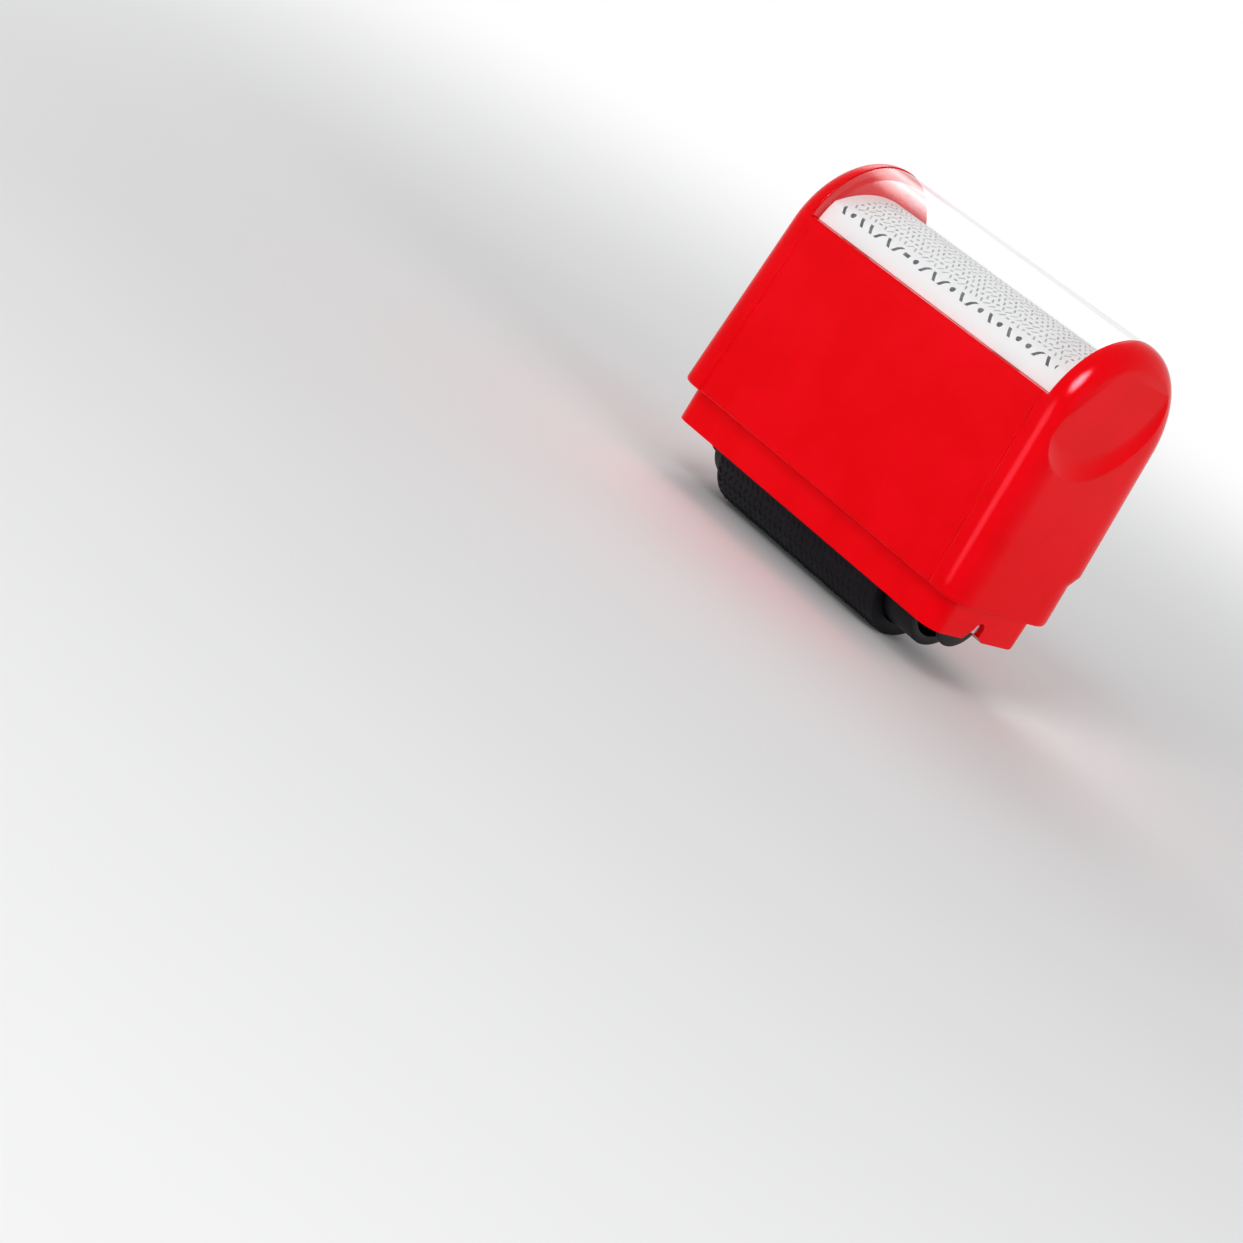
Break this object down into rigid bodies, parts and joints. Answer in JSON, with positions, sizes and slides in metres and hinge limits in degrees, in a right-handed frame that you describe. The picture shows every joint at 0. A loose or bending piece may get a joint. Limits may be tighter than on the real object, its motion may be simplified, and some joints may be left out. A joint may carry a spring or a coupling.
{
  "type": "privacy roller stamp",
  "caption": "Hand-held roller stamp: red arched grip housing, clear window over an index card, pull-out cassette, sprung ink roller and black print roller.",
  "frame": {"origin": "on the line where the print roller meets the paper, at the middle of the housing in length and depth", "axes": "+X along the rollers, +Y from the front face to the jogged rear face, +Z from the paper up to the window"},
  "size_m": [0.0664, 0.0299, 0.0583],
  "materials": {
    "housing_red": "glossy moulded red plastic",
    "clear_window": "clear polished plastic",
    "card": "white card printed with rows of grey-black marks",
    "cassette_red": "semi-gloss moulded red plastic",
    "black_plastic": "satin black moulded plastic",
    "print_rubber": "black printing rubber with a raised field of small marks, inked",
    "ink_foam": "black microporous foam soaked with ink",
    "ink_felt": "dense black felt",
    "nylon": "natural white moulded plastic",
    "axle_steel": "drawn steel rod",
    "spring_steel": "drawn spring wire"
  },
  "bodies": {
    "housing": {"housing_shell": "housing_red", "index_card": "card"},
    "window": {"window_cover": "clear_window"},
    "cassette": {"cassette_frame": "cassette_red", "cassette_lid": "cassette_red", "left_ink_spring": "spring_steel", "right_ink_spring": "spring_steel"},
    "print_roller": {"print_axle": "axle_steel", "print_core": "black_plastic", "print_sleeve": "print_rubber", "left_print_collar": "black_plastic", "right_print_collar": "black_plastic"},
    "ink_carriage": {"left_ink_block": "black_plastic", "right_ink_block": "black_plastic", "ink_axle": "axle_steel"},
    "ink_roller": {"ink_core": "nylon", "ink_sleeve": "ink_foam", "ink_felt": "ink_felt", "left_ink_cap": "black_plastic", "right_ink_cap": "black_plastic"}
  },
  "joints": [
    {"name": "window_lift", "type": "slide", "parent": "housing", "child": "window", "axis": [0, 0, 1], "range_m": [0, 0.018]},
    {"name": "cassette_pull", "type": "slide", "parent": "housing", "child": "cassette", "axis": [0, 0, -1], "range_m": [0, 0.036]},
    {"name": "print_spin", "type": "hinge", "parent": "cassette", "child": "print_roller", "pos_m": [0, -0.0016, 0.0098], "axis": [1, 0, 0], "continuous": true},
    {"name": "ink_press", "type": "slide", "parent": "cassette", "child": "ink_carriage", "axis": [0, 0, 1], "range_m": [0, 0.0012], "stiffness_N_per_m": 600, "springref_m": -0.002, "deforming": ["left_ink_spring", "right_ink_spring"]},
    {"name": "ink_spin", "type": "hinge", "parent": "ink_carriage", "child": "ink_roller", "pos_m": [0, -0.0016, 0.02835], "axis": [1, 0, 0], "continuous": true}
  ],
  "couplings": [
    {"joint": "ink_spin", "follows": "print_spin", "ratio": -1.1529}
  ]
}
